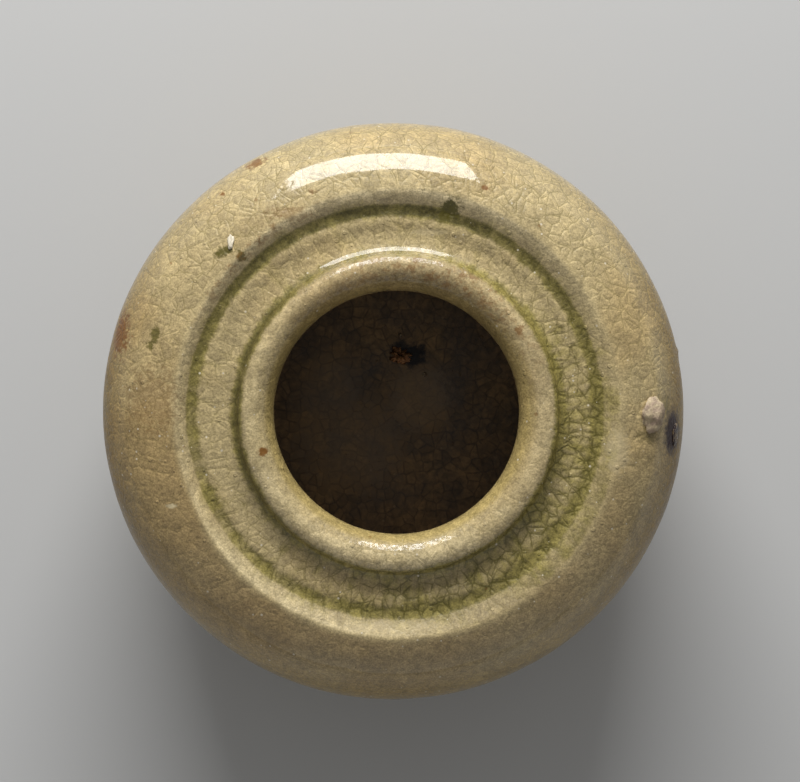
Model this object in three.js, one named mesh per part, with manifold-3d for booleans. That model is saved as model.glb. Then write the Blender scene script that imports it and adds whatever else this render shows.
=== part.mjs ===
// A small squat celadon jar: one wheel-thrown stoneware body under its coats of glaze, with
// the kiln grit that fused to it in the firing. Millimetres, +Z up. The origin is on the
// surface it stands on, at the centre of the foot ring, and +X is to the right of the photograph.
import * as THREE from "three";
import { mergeVertices } from "three/addons/utils/BufferGeometryUtils.js";
import Module from "manifold-3d";

const wasm = await Module();
wasm.setup();

// Body
const bodyRadius = 38;
const height = 38;
const wall = 3;
const floorThickness = 3.3;

// Foot ring, and the recess inside it
const footRadius = 20.5;
const footWidth = 3.2;
const footHeight = 3.2;
const footFillet = 1.2;
const footChamfer = 0.35;
const recessDepth = 2.3;
const recessFillet = 1;

// Mouth and lip: crown and edge are the radii of its top and of its outer corner, which meet at lipTurn
const throatRadius = 15.8;
const throatDepth = 3.9;
const undercutWidth = 2;
const lipInnerWidth = 3.3;
const lipHeight = 2.6;
const lipCrown = 2.3;
const lipEdge = 0.5;
const lipTurn = 45;
const neckFillet = 0.5;

// Ledge round the neck, with a groove on each side, and the bevel up to the ridge
const ledgeWidth = 4.6;
const ledgeCrown = 0.5;
const bevelWidth = 3.1;
const bevelSlope = 27;
const grooveEase = 2.2;
const ridgeEase = 0.8;
const ridgeTilt = 14;

// Throwing mound in the middle of the floor
const moundRadius = 7;
const moundRise = 0.35;

// Glaze coats
const glazeThickness = 0.4;
const poolThickness = 0.45;
const poolReach = 1.3;
const bareFootBand = 0.9;

// Kiln grit on the outside: how wide and how proud each lump is, at what angle round the axis, and
// how far in from the widest part of the body or out from the ridge
const shoulderGrit = { width: 4.2, rise: 1.4, angle: -0.8 };
const shoulderGritInset = 4.6;
const ironBlister = { width: 4.4, rise: 0.35, angle: -4.9 };
const ironBlisterInset = 1.4;
const ridgeGrain = { width: 1, rise: 0.45, angle: 133.7 };
const ridgeGrainOffset = 1;

// Kiln grit on the floor inside, and how far from the middle
const floorChip = { width: 2.4, rise: 1.1, angle: 83 };
const floorChipReach = 7.3;
const floorGrains = [
  { width: 1, rise: 0.5, angle: 85, reach: 10.1 },
  { width: 0.9, rise: 0.45, angle: 49, reach: 6.4 },
];

// Tips of the quartz spurs, evenly round the recess
const spurCount = 3;
const spurChip = { width: 1.7, rise: 0.5, angle: 30 };
const spurReach = 9.5;

// How finely the round shapes are cut
const segments = 48;
const bellySteps = 6;
const shoulderSteps = 6;
const bevelSteps = 2;
const ledgeSteps = 4;
const lipSteps = 3;
const edgeSteps = 2;
const cavitySteps = 4;
const filletSteps = 2;
const gritDetail = 1;
const gritRoughness = 0.12;
const gritWaves = new THREE.Vector3(5, 7, 3);

// Colours
const bareClay = 0xa58a6c;
const celadon = 0xb3a67c;
const darkGlaze = 0x3a2f22;
const paleGrit = 0xb9a68c;
const ironBrown = 0x3a2530;
const chipBrown = 0x8a5230;
const quartzWhite = 0xd9d0bf;

// Radii and heights that follow from the sizes
const crestRadius = throatRadius + lipInnerWidth;
const lipTurned = THREE.MathUtils.degToRad(lipTurn);
const neckRadius = crestRadius + (lipCrown - lipEdge) * Math.cos(lipTurned) + lipEdge;
const lipEdgeHeight = height - lipCrown + (lipCrown - lipEdge) * Math.sin(lipTurned);
const innerGroove = neckRadius + neckFillet;
const outerGroove = innerGroove + ledgeWidth;
const ridgeRadius = outerGroove + bevelWidth;
const throatHeight = height - throatDepth;
const grooveHeight = height - lipHeight;
const ridgeAngle = 90 - ridgeTilt;
const tilt = THREE.MathUtils.degToRad(ridgeTilt);
const slope = THREE.MathUtils.degToRad(bevelSlope);
const bevelFlat = bevelWidth - grooveEase * Math.sin(slope) - ridgeEase * (Math.sin(tilt) + Math.sin(slope));
const grooveRise = grooveEase * (1 - Math.cos(slope));
const ridgeRise = ridgeEase * (Math.cos(tilt) - Math.cos(slope));
const ridgeHeight = grooveHeight + grooveRise + bevelFlat * Math.tan(slope) + ridgeRise;
const shoulderRound = (bodyRadius - ridgeRadius) / (1 - Math.sin(tilt));
const shoulderCentre = bodyRadius - shoulderRound;
const equatorHeight = ridgeHeight - shoulderRound * Math.cos(tilt);
const cavityRadius = bodyRadius - wall - 2 * glazeThickness;
const cavityCeiling = grooveHeight - poolThickness - wall - 2 * glazeThickness;
const cavityFloor = recessDepth + floorThickness + glazeThickness;
const recessRadius = footRadius - footWidth;
const recessGlaze = recessDepth - glazeThickness;
const recessGlazeEdge = Math.min(bareFootBand, recessGlaze / 2);

// Points along a round stretch of an outline, angles in degrees from the +radius direction
function arc(centreRadius, centreHeight, reach, rise, from, to, steps) {
  const start = THREE.MathUtils.degToRad(from);
  const end = THREE.MathUtils.degToRad(to);
  const curve = new THREE.EllipseCurve(centreRadius, centreHeight, reach, rise, start, end, to < from);
  return curve.getPoints(steps);
}

// One run of points from several, with no point twice
function joined(...stretches) {
  const tooClose = 1e-4;
  const all = stretches.flat();
  return all.filter((p, i) => i === 0 || p.distanceTo(all[i - 1]) > tooClose);
}

// The bevel from the rounded ridge straight down and out softly into the outer groove
function bevel() {
  const roundRadius = ridgeRadius - ridgeEase * Math.sin(tilt);
  const roundHeight = ridgeHeight - ridgeEase * Math.cos(tilt);
  const below = 270 + bevelSlope;
  return joined(
    arc(roundRadius, roundHeight, ridgeEase, ridgeEase, ridgeAngle, 90 + bevelSlope, bevelSteps),
    arc(outerGroove, grooveHeight + grooveEase, grooveEase, grooveEase, below, 270, bevelSteps),
  );
}

// The lip's outside, from the wall of the inner groove up and over to its crest
function lip() {
  return joined(
    arc(innerGroove, grooveHeight + neckFillet, neckFillet, neckFillet, 270, 180, filletSteps),
    arc(neckRadius - lipEdge, lipEdgeHeight, lipEdge, lipEdge, 0, lipTurn, edgeSteps),
    arc(crestRadius, height - lipCrown, lipCrown, lipCrown, lipTurn, 90, edgeSteps),
  );
}

// The ledge between the two grooves, crowned in the middle
function ledge() {
  const points = [];
  for (let i = 0; i <= ledgeSteps; i++) {
    const along = i / ledgeSteps;
    const rise = (ledgeCrown * (1 - Math.cos(2 * Math.PI * along))) / 2;
    points.push(new THREE.Vector2(outerGroove - ledgeWidth * along, grooveHeight + rise));
  }
  return points;
}

// Glaze surface outside, from its edge on the foot up over the shoulder and lip to the throat
function outerSurface() {
  const bellyStart = footRadius + footFillet;
  const bellyRun = bodyRadius - bellyStart;
  const bellyRise = equatorHeight - footHeight;
  return joined(
    [new THREE.Vector2(footRadius, bareFootBand)],
    arc(bellyStart, footHeight - footFillet, footFillet, footFillet, 180, 90, filletSteps),
    arc(bellyStart, equatorHeight, bellyRun, bellyRise, -90, 0, bellySteps),
    arc(shoulderCentre, equatorHeight, shoulderRound, shoulderRound, 0, ridgeAngle, shoulderSteps),
    bevel(),
    ledge(),
    lip(),
    arc(crestRadius, throatHeight, lipInnerWidth, throatDepth, 90, 180, lipSteps),
  );
}

// Glaze surface inside, from the throat along the ceiling and wall to the middle of the floor
function innerSurface() {
  const turnRadius = throatRadius + undercutWidth;
  const shoulderReach = cavityRadius - shoulderCentre;
  const bowlReach = cavityRadius - footRadius;
  return joined(
    arc(turnRadius, throatHeight, undercutWidth, throatHeight - cavityCeiling, 180, 270, filletSteps),
    arc(shoulderCentre, equatorHeight, shoulderReach, cavityCeiling - equatorHeight, 90, 0, cavitySteps),
    arc(footRadius, equatorHeight, bowlReach, equatorHeight - cavityFloor, 0, -90, cavitySteps),
    [new THREE.Vector2(moundRadius, cavityFloor), new THREE.Vector2(0, cavityFloor + moundRise)],
  );
}

// Glaze surface under the base, from the middle out and down the inside of the foot ring
function baseSurface() {
  const start = recessRadius - recessFillet;
  return joined(
    [new THREE.Vector2(0, recessGlaze)],
    arc(start, recessGlazeEdge, recessFillet, recessGlaze - recessGlazeEdge, 90, 0, filletSteps),
  );
}

// How thick the coat lies on the outside: it runs together in the two grooves
function outerThickness(point) {
  if (point.y < equatorHeight) return glazeThickness;
  const pools = [innerGroove, outerGroove].map((groove) => {
    const away = Math.min(1, Math.abs(point.x - groove) / poolReach);
    return (poolThickness * (1 + Math.cos(Math.PI * away))) / 2;
  });
  return glazeThickness + Math.max(...pools);
}

// How thick the other coats lie
function evenThickness() {
  return glazeThickness;
}

// The clay surface under a glaze surface; the first and last point go in the given directions
function clayUnder(surface, thickness, firstInward, lastInward) {
  const last = surface.length - 1;
  return surface.map((point, i) => {
    const along = surface[Math.min(last, i + 1)].clone().sub(surface[Math.max(0, i - 1)]).normalize();
    let inward = new THREE.Vector2(-along.y, along.x);
    if (i === 0) inward = firstInward;
    if (i === last) inward = lastInward;
    return point.clone().addScaledVector(inward, thickness(point));
  });
}

// A closed outline, or one from axis to axis, turned about the vertical axis
function turned(outline) {
  return new THREE.LatheGeometry(outline, segments).rotateX(Math.PI / 2);
}

// The coat between a glaze surface and the clay surface under it
function coat(glaze, clay) {
  const back = clay.slice().reverse();
  if (glaze.at(-1).x === 0) return turned([...back, ...glaze]);
  if (glaze[0].x === 0) return turned([...glaze, ...back]);
  return turned([...glaze, ...back, glaze[0]]);
}

// The clay: base, bare standing edge, outside, and the cavity down to the middle of its floor
function body(baseClay, outerClay, innerClay) {
  const inside = baseClay.at(-1).x;
  const outside = outerClay[0].x;
  const standingEdge = [
    new THREE.Vector2(inside, footChamfer),
    new THREE.Vector2(inside + footChamfer, 0),
    new THREE.Vector2(outside - footChamfer, 0),
    new THREE.Vector2(outside, footChamfer),
  ];
  return turned(joined(baseClay, standingEdge, outerClay, innerClay));
}

// A geometry as a solid that can be cut, without the slivers that a turned outline has on its axis
function solidOf(geometry) {
  const bare = geometry.clone();
  bare.deleteAttribute("normal");
  bare.deleteAttribute("uv");
  const merged = mergeVertices(bare);
  const corners = [];
  for (let i = 0; i < merged.index.count; i += 3) {
    const [a, b, c] = [0, 1, 2].map((j) => merged.index.getX(i + j));
    if (a !== b && b !== c && c !== a) corners.push(a, b, c);
  }
  return new wasm.Manifold(new wasm.Mesh({
    numProp: 3,
    vertProperties: merged.attributes.position.array,
    triVerts: new Uint32Array(corners),
  }));
}

// A solid as a geometry again
function geometryOf(solid) {
  const mesh = solid.getMesh();
  const geometry = new THREE.BufferGeometry();
  geometry.setAttribute("position", new THREE.BufferAttribute(new Float32Array(mesh.vertProperties), 3));
  geometry.setIndex(new THREE.BufferAttribute(new Uint32Array(mesh.triVerts), 1));
  return geometry;
}

// Where a surface is crossed at a distance from the axis, and the way it faces there: side is
// 1 for the highest crossing and -1 for the lowest
function seatAt(surface, radius, side) {
  const crossings = [];
  for (let i = 1; i < surface.length; i++) {
    const [from, to] = [surface[i - 1], surface[i]];
    if (from.x === to.x || (from.x - radius) * (to.x - radius) > 0) continue;
    const along = to.clone().sub(from).normalize();
    crossings.push({
      point: from.clone().lerp(to, (radius - from.x) / (to.x - from.x)),
      outward: new THREE.Vector2(along.y, -along.x),
    });
  }
  return crossings.sort((a, b) => side * (b.point.y - a.point.y))[0];
}

// An uneven lump half sunk in a coat of glaze, at a distance from the axis, cut so that it only
// touches the coat: what stays is the piece above the surface, without any crumb between the coat
// and the clay
function lump(grit, fromAxis, surface, side, under) {
  const geometry = new THREE.IcosahedronGeometry(1, gritDetail);
  const corners = geometry.attributes.position;
  const corner = new THREE.Vector3();
  for (let i = 0; i < corners.count; i++) {
    corner.fromBufferAttribute(corners, i);
    const wave = Math.sin(corner.dot(gritWaves) + grit.angle);
    corner.multiplyScalar(1 + gritRoughness * wave);
    corners.setXYZ(i, corner.x, corner.y, corner.z);
  }
  geometry.scale(grit.width / 2, grit.width / 2, grit.rise);

  const { point, outward } = seatAt(surface, fromAxis, side);
  const turn = THREE.MathUtils.degToRad(grit.angle);
  const facing = new THREE.Vector3(outward.x * Math.cos(turn), outward.x * Math.sin(turn), outward.y);
  const upright = new THREE.Vector3(0, 0, 1);
  geometry.applyQuaternion(new THREE.Quaternion().setFromUnitVectors(upright, facing));
  geometry.translate(point.x * Math.cos(turn), point.x * Math.sin(turn), point.y);
  const cut = under.reduce((solid, other) => solid.subtract(other), solidOf(geometry));
  const bySize = cut.decompose().sort((a, b) => b.volume() - a.volume());
  return geometryOf(bySize[0]);
}

const jar = new THREE.Group();

function add(name, geometry, color, roughness) {
  const mesh = new THREE.Mesh(geometry, new THREE.MeshStandardMaterial({ color, roughness, metalness: 0 }));
  mesh.name = name;
  jar.add(mesh);
}

const inward = new THREE.Vector2(-1, 0);
const outward = new THREE.Vector2(1, 0);
const upward = new THREE.Vector2(0, 1);
const downward = new THREE.Vector2(0, -1);
const outerGlaze = outerSurface();
const innerGlaze = innerSurface();
const baseGlaze = baseSurface();
const outerClay = clayUnder(outerGlaze, outerThickness, inward, outward);
const innerClay = clayUnder(innerGlaze, evenThickness, outward, downward);
const baseClay = clayUnder(baseGlaze, evenThickness, upward, outward);

const bodyGeometry = body(baseClay, outerClay, innerClay);
const outerCoat = coat(outerGlaze, outerClay);
const innerCoat = coat(innerGlaze, innerClay);
const baseCoat = coat(baseGlaze, baseClay);
const clay = solidOf(bodyGeometry);
const onOutside = [solidOf(outerCoat), clay];
const onInside = [solidOf(innerCoat), clay];
const onBase = [solidOf(baseCoat), clay];

add("stoneware_body", bodyGeometry, bareClay, 0.85);
add("outer_glaze", outerCoat, celadon, 0.25);
add("inner_glaze", innerCoat, darkGlaze, 0.35);
add("base_glaze", baseCoat, celadon, 0.3);

const gritRadius = bodyRadius - shoulderGritInset;
const blisterRadius = bodyRadius - ironBlisterInset;
const grainRadius = ridgeRadius + ridgeGrainOffset;
add("shoulder_grit", lump(shoulderGrit, gritRadius, outerGlaze, 1, onOutside), paleGrit, 0.8);
add("iron_blister", lump(ironBlister, blisterRadius, outerGlaze, 1, onOutside), ironBrown, 0.3);
add("ridge_grain", lump(ridgeGrain, grainRadius, outerGlaze, 1, onOutside), quartzWhite, 0.7);
add("floor_chip", lump(floorChip, floorChipReach, innerGlaze, -1, onInside), chipBrown, 0.8);
floorGrains.forEach((grain, i) => {
  add(`floor_grain_${i + 1}`, lump(grain, grain.reach, innerGlaze, -1, onInside), paleGrit, 0.8);
});
for (let i = 0; i < spurCount; i++) {
  const spur = { ...spurChip, angle: spurChip.angle + (360 * i) / spurCount };
  add(`spur_chip_${i + 1}`, lump(spur, spurReach, baseGlaze, -1, onBase), quartzWhite, 0.75);
}

export default jar;
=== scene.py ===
import math
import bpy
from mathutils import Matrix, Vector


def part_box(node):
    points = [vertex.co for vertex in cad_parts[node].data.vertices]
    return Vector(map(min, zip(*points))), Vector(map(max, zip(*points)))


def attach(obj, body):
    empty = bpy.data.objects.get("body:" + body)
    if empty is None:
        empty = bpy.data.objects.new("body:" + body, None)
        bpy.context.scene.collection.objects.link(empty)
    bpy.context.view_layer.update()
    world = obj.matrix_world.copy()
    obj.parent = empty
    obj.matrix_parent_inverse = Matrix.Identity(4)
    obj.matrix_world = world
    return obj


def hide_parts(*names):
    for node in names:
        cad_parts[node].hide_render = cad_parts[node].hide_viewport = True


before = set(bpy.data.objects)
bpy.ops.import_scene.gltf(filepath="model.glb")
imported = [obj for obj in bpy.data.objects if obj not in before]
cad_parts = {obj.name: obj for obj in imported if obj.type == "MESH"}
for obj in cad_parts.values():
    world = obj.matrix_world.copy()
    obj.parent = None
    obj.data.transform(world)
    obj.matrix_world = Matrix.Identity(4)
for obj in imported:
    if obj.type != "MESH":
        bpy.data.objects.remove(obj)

from types import SimpleNamespace

import bmesh
import bpy
from bpy.props import FloatProperty, FloatVectorProperty, IntProperty, PointerProperty
from mathutils import Matrix, Vector, noise

bl_info = {
    "name": "Celadon Jar",
    "version": (1, 0, 0),
    "blender": (4, 5, 0),
    "location": "View3D > Sidebar > Jar",
    "description": "Throws a small celadon jar, coats it in crackled glaze and lights it",
    "category": "Add Mesh",
}

MM = 0.001
MM_PER_METRE = 1000
BODY = "root"
SAME_PLACE = 1e-7
HARDLY = 1e-6


def srgb(red, green, blue):
    """A colour as a screen shows it, 0 to 255, in the linear values that shaders take."""
    return tuple(((v / 255 + 0.055) / 1.055) ** 2.4 for v in (red, green, blue))


# The CAD parts in model.glb give the outer sizes of the pieces. The frame gives the
# outer sizes that the visual model has to keep
COAT_LOW, COAT_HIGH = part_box("outer_glaze")
CLAY_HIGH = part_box("stoneware_body")[1]
LINING_LOW, LINING_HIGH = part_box("inner_glaze")
BASE_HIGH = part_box("base_glaze")[1]
COAT = COAT_HIGH.x - CLAY_HIGH.x


def length(name, default, description):
    return FloatProperty(name=name, default=default, description=description, unit="LENGTH", precision=5)


def turn(name, default, description):
    return FloatProperty(name=name, default=math.radians(default), description=description, unit="ROTATION")


def colour(name, default, description):
    return FloatVectorProperty(
        name=name, default=default, description=description, subtype="COLOR", size=3, min=0, max=1
    )


class JarSizes(bpy.types.PropertyGroup):
    body_radius: length("Body radius", COAT_HIGH.x, "Radius of the jar at its widest")
    height: length("Height", COAT_HIGH.z, "Height of the lip above the foot")
    coat: length("Glaze thickness", COAT, "Thickness of a coat of glaze")
    cavity_radius: length("Cavity radius", LINING_HIGH.x - COAT, "Inside radius")
    cavity_floor: length("Cavity floor", LINING_LOW.z + COAT, "Height of the floor")
    recess_depth: length("Recess depth", BASE_HIGH.z, "Depth of the clay recess under the base")
    recess_radius: length("Recess radius", BASE_HIGH.x, "Radius of the clay recess under the base")
    bare_band: length("Bare foot band", COAT_LOW.z, "Height of the foot that the glaze leaves bare")

    foot_radius: length("Foot radius", 20.5 * MM, "Outer radius of the foot ring")
    foot_height: length("Foot height", 3.2 * MM, "Height of the foot ring outside")
    foot_fillet: length("Foot fillet", 1.2 * MM, "Rounding where the foot meets the belly")
    foot_chamfer: length("Foot chamfer", 0.35 * MM, "Wear on the edges of the foot ring")
    recess_fillet: length("Recess fillet", 1 * MM, "Rounding of the recess")

    throat_radius: length("Throat radius", 15.8 * MM, "Radius of the mouth at its narrowest")
    throat_depth: length("Throat depth", 3.9 * MM, "How far the throat lies below the lip")
    undercut_width: length("Undercut", 2 * MM, "Rounding under the throat")
    ceiling_drop: length("Ceiling drop", 4.25 * MM, "How far the cavity's ceiling lies below the grooves")
    lip_inner: length("Inner lip width", 3.3 * MM, "Width of the slope inside the lip's crest")
    lip_height: length("Lip height", 2.6 * MM, "Height of the lip above the inner groove")
    lip_crown: length("Lip crown", 2.3 * MM, "Radius of the lip's rounded top")
    lip_edge: length("Lip edge", 0.5 * MM, "Radius of the lip's outer corner")
    lip_turn: turn("Lip turn", 45, "Where the rounded top meets the outer corner")
    neck_rise: length("Neck rise", 1.5 * MM, "How far the rounding at the ledge climbs up the lip")
    neck_reach: length("Neck reach", 2.6 * MM, "How far the rounding under the lip spreads over the ledge")
    ledge_width: length("Ledge width", 2.5 * MM, "Distance between the two grooves")
    ledge_crown: length("Ledge crown", 0.2 * MM, "How far the ledge rises between the grooves")
    bevel_width: length("Bevel width", 3.1 * MM, "Distance from the outer groove to the ridge")
    bevel_slope: turn("Bevel slope", 27, "Slope of the bevel")
    groove_ease: length("Groove rounding", 2.2 * MM, "Rounding at the bottom of the bevel")
    ridge_ease: length("Ridge rounding", 0.8 * MM, "Rounding at the top of the bevel")
    ridge_tilt: turn("Ridge tilt", 14, "Slope of the shoulder at the ridge")
    pool_depth: length("Pool depth", 0.45 * MM, "Extra thickness of the glaze in the grooves")
    pool_reach: length("Pool reach", 1.3 * MM, "How far the pooled glaze spreads from a groove")
    mound_radius: length("Mound radius", 7 * MM, "Radius of the throwing mound on the floor")
    mound_rise: length("Mound rise", 0.35 * MM, "Height of the throwing mound on the floor")

    steps_round: IntProperty(name="Steps round", default=384, min=48, description="Steps of a full turn")
    fine_step: length("Fine step", 0.4 * MM, "Length of a step along the visible outlines")
    hidden_step: length("Hidden step", 1.5 * MM, "Length of a step along the outlines under the glaze")


class JarColours(bpy.types.PropertyGroup):
    celadon: colour("Celadon", srgb(164, 147, 107), "The glaze where it lies evenly")
    tan: colour("Tan", srgb(157, 134, 90), "The glaze where the fire turned it warm")
    # pale is also painted light on the upper bevel and on the lip's crest on the side away from the lamp
    pale: colour("Pale", srgb(194, 178, 140), "The glaze where it is thin over an edge")
    olive: colour("Olive", srgb(152, 133, 80), "The glaze in the throat and at the widest part")
    green: colour("Green", srgb(134, 122, 66), "The glaze where it pools")
    deep_green: colour("Deep green", srgb(80, 73, 20), "Stain in the cracks of pooled glaze")
    crack: colour("Crack", srgb(98, 88, 44), "Stain in the cracks of even glaze")
    # umber is the colour of the painted shade on the glaze; it is also the second tone of the iron blister
    umber: colour("Umber", srgb(128, 108, 76), "The glaze on the side that the fire left dull")
    ochre: colour("Ochre", srgb(110, 83, 28), "The glaze at the widest part")
    rust: colour("Rust", srgb(114, 78, 38), "Iron stains")
    # Painted shadow: the black patch painted on the floor behind the chip.
    chip_shadow: colour("Ink", srgb(20, 13, 10), "The burnt patch behind the chip")
    lining: colour("Lining", srgb(128, 103, 69), "The dark glaze inside")
    lining_crack: colour("Lining crack", srgb(60, 44, 28), "Cracks of the dark glaze")
    ash: colour("Ash", srgb(184, 156, 118), "The paler patch on the floor inside")
    clay: colour("Clay", srgb(170, 146, 118), "The bare clay")
    burnt_clay: colour("Burnt clay", srgb(158, 98, 58), "The bare clay where the fire turned it orange")
    grit: colour("Grit", srgb(178, 160, 128), "Pale kiln grit")
    grit_shade: colour("Grit shade", srgb(148, 128, 108), "The pinkish grey side of the kiln grit")
    iron: colour("Iron", srgb(44, 30, 30), "The iron blister")
    # The chip's colour is partly painted light: lighter than its own orange-brown, for light falling on it on
    # the floor.
    chip: colour("Chip", srgb(226, 166, 116), "The chip on the floor")
    quartz: colour("Quartz", srgb(200, 190, 168), "Quartz sand")
    floor: colour("Floor", srgb(180, 180, 179), "The floor of the stage")


def smooth(low, high, value):
    """0 below low, 1 above high, and an even rise between them."""
    share = min(1, max(0, (value - low) / (high - low)))
    return share * share * (3 - 2 * share)


def jar_shape(sizes):
    """The sizes as plain numbers, with the radii and heights that follow from them."""
    jar = SimpleNamespace(**{name: getattr(sizes, name) for name in JarSizes.__annotations__})
    jar.crest = jar.throat_radius + jar.lip_inner
    jar.lip_run = jar.lip_crown - jar.lip_edge
    jar.neck = jar.crest + jar.lip_run * math.cos(jar.lip_turn) + jar.lip_edge
    jar.inner_groove = jar.neck + jar.neck_reach
    jar.outer_groove = jar.inner_groove + jar.ledge_width
    jar.ridge = jar.outer_groove + jar.bevel_width
    jar.groove_height = jar.height - jar.lip_height
    jar.throat_height = jar.height - jar.throat_depth
    ends = math.sin(jar.ridge_tilt) + math.sin(jar.bevel_slope)
    flat = jar.bevel_width - jar.groove_ease * math.sin(jar.bevel_slope) - jar.ridge_ease * ends
    rise = jar.groove_ease * (1 - math.cos(jar.bevel_slope)) + flat * math.tan(jar.bevel_slope)
    rise += jar.ridge_ease * (math.cos(jar.ridge_tilt) - math.cos(jar.bevel_slope))
    jar.ridge_height = jar.groove_height + rise
    jar.shoulder = (jar.body_radius - jar.ridge) / (1 - math.sin(jar.ridge_tilt))
    jar.shoulder_centre = jar.body_radius - jar.shoulder
    jar.equator = jar.ridge_height - jar.shoulder * math.cos(jar.ridge_tilt)
    jar.ceiling = jar.groove_height - jar.ceiling_drop
    return jar


def arc(centre, reach, rise, start, end, step):
    """Points of a round stretch of an outline, angles in radians from the direction away from the axis."""
    count = max(2, math.ceil(abs(end - start) * max(reach, rise) / step))
    angles = [start + (end - start) * i / count for i in range(count + 1)]
    return [Vector((centre[0] + reach * math.cos(a), centre[1] + rise * math.sin(a))) for a in angles]


def stretch(start, end, base, step, rise=lambda share: 0):
    """Points of a level stretch of an outline; rise gives the height above base at a share of the way."""
    count = max(2, math.ceil(abs(end - start) / step))
    shares = [i / count for i in range(count + 1)]
    return [Vector((start + (end - start) * s, base + rise(s))) for s in shares]


def upright(radius, start, end, step):
    """Points of an upright stretch of an outline."""
    count = max(1, math.ceil(abs(end - start) / step))
    return [Vector((radius, start + (end - start) * i / count)) for i in range(count + 1)]


def joined(*stretches):
    """One run of points from several, with no point twice."""
    points = []
    for point in (p for run in stretches for p in run):
        if not points or (point - points[-1]).length > SAME_PLACE:
            points.append(point)
    return points


DOWN, OUT, UP, IN = -math.pi / 2, 0, math.pi / 2, math.pi


def outer_surface(jar, step):
    """The glaze's surface outside, from its edge on the foot over the shoulder and lip to the throat."""
    fillet, ease, edge, crown = jar.foot_fillet, jar.ridge_ease, jar.lip_edge, jar.lip_crown
    belly = jar.foot_radius + fillet
    ridge_angle = UP - jar.ridge_tilt
    ridge_round = (
        jar.ridge - ease * math.sin(jar.ridge_tilt),
        jar.ridge_height - ease * math.cos(jar.ridge_tilt),
    )
    edge_height = jar.height - crown + jar.lip_run * math.sin(jar.lip_turn)
    below = DOWN + jar.bevel_slope
    fine = step * 0.6
    return joined(
        upright(jar.foot_radius, jar.bare_band, jar.foot_height - fillet, step),
        arc((belly, jar.foot_height - fillet), fillet, fillet, IN, UP, step),
        arc(
            (belly, jar.equator), jar.body_radius - belly,
            jar.equator - jar.foot_height, DOWN, OUT, step * 2,
        ),
        arc((jar.shoulder_centre, jar.equator), jar.shoulder, jar.shoulder, OUT, ridge_angle, step),
        arc(ridge_round, ease, ease, ridge_angle, UP + jar.bevel_slope, fine),
        arc(
            (jar.outer_groove, jar.groove_height + jar.groove_ease),
            jar.groove_ease, jar.groove_ease, below, DOWN, fine,
        ),
        stretch(
            jar.outer_groove, jar.inner_groove, jar.groove_height, fine,
            lambda share: jar.ledge_crown * (1 - math.cos(2 * math.pi * share)) / 2,
        ),
        arc(
            (jar.inner_groove, jar.groove_height + jar.neck_rise),
            jar.neck_reach, jar.neck_rise, DOWN, -IN, fine / 2,
        ),
        arc((jar.neck - edge, edge_height), edge, edge, OUT, jar.lip_turn, fine / 2),
        arc((jar.crest, jar.height - crown), crown, crown, jar.lip_turn, UP, fine),
        arc((jar.crest, jar.throat_height), jar.lip_inner, jar.throat_depth, UP, IN, fine),
    )


def inner_surface(jar, step):
    """The glaze's surface inside, from the throat along ceiling and wall to the middle of the floor."""
    turned = jar.throat_radius + jar.undercut_width
    wall = jar.cavity_radius - jar.foot_radius
    return joined(
        arc(
            (turned, jar.throat_height), jar.undercut_width,
            jar.throat_height - jar.ceiling, IN, IN + UP, step,
        ),
        stretch(turned, jar.shoulder_centre, jar.ceiling, step),
        arc(
            (jar.shoulder_centre, jar.equator), jar.cavity_radius - jar.shoulder_centre,
            jar.ceiling - jar.equator, UP, OUT, step,
        ),
        arc((jar.foot_radius, jar.equator), wall, jar.equator - jar.cavity_floor, OUT, DOWN, step),
        stretch(jar.foot_radius, jar.mound_radius, jar.cavity_floor, step),
        stretch(
            jar.mound_radius, 0, jar.cavity_floor, step,
            lambda share: jar.mound_rise * smooth(0, 1, share),
        ),
    )


def base_surface(jar, step):
    """The glaze's surface under the base, from the middle out and down the inside of the foot ring."""
    radius = jar.recess_radius - jar.coat
    height = jar.recess_depth - jar.coat
    edge = min(jar.bare_band, height / 2)
    start = radius - jar.recess_fillet
    return joined(
        stretch(0, start, height, step),
        arc((start, edge), jar.recess_fillet, height - edge, UP, OUT, step / 3),
    )


def pool_at(jar, radius, groove):
    """How far the glaze has run together in a groove, 0 to 1."""
    return (1 + math.cos(math.pi * min(1, abs(radius - groove) / jar.pool_reach))) / 2


def outer_coat_at(jar, point):
    """How thick the glaze outside is at a point of its outline."""
    if point.y < jar.equator:
        return jar.coat
    pools = [pool_at(jar, point.x, groove) for groove in (jar.inner_groove, jar.outer_groove)]
    return jar.coat + jar.pool_depth * max(pools)


def even_coat_at(jar, point):
    """How thick a glaze is that has pooled nowhere."""
    return jar.coat


def under(surface, jar, thickness, first, last):
    """The clay's surface under a coat; first and last are the ways its end points go."""
    points = []
    for i, point in enumerate(surface):
        along = surface[min(len(surface) - 1, i + 1)] - surface[max(0, i - 1)]
        inward = Vector((-along.y, along.x)).normalized()
        if i == 0:
            inward = Vector(first)
        if i == len(surface) - 1:
            inward = Vector(last)
        points.append(point + inward * thickness(jar, point))
    return points


def outside_clay(jar):
    return under(outer_surface(jar, jar.hidden_step), jar, outer_coat_at, (-1, 0), (1, 0))


def inside_clay(jar):
    return under(inner_surface(jar, jar.hidden_step), jar, even_coat_at, (1, 0), (0, -1))


def base_clay(jar):
    return under(base_surface(jar, jar.hidden_step), jar, even_coat_at, (0, 1), (1, 0))


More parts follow.
